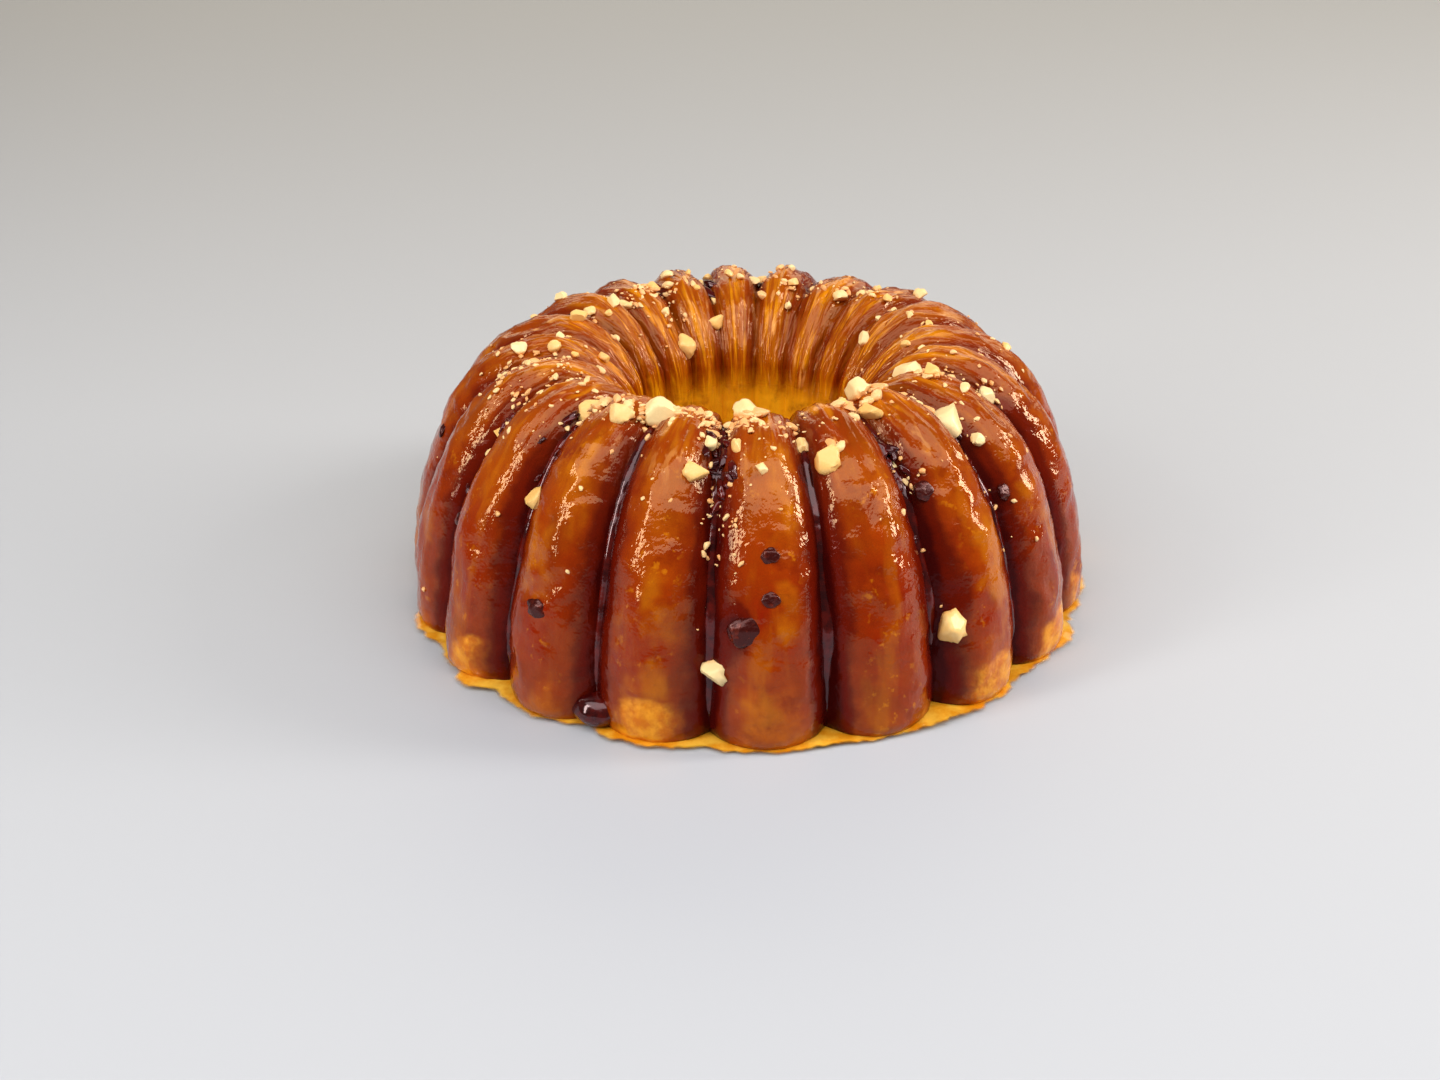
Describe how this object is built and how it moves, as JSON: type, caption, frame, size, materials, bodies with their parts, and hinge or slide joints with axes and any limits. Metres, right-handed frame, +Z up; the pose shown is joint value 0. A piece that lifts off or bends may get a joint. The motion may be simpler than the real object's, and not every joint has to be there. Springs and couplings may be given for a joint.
{
  "type": "fluted ring pound cake",
  "caption": "Whole ring-shaped pound cake with deep rounded flutes, a centre hole, a caramel glaze and chopped nuts fused on top.",
  "frame": {"origin": "centre of the foot of the ring, on the surface that the cake stands on", "axes": "+Z up along the axis of the ring, -Y towards the viewer, +X to the viewer's right; the middle of the front flute points within two degrees of -Y"},
  "size_m": [0.2448, 0.2469, 0.0959],
  "materials": {
    "glazed_crust": "baked crust under a wet, wrinkled caramel glaze",
    "caramel": "thick dark caramel, glossy",
    "syrup": "thin amber syrup, set and glossy",
    "nuts": "pale chopped nuts, satin",
    "raisins": "dark wrinkled raisins under glaze"
  },
  "bodies": {
    "root": {"cake": "glazed_crust"}
  },
  "joints": []
}
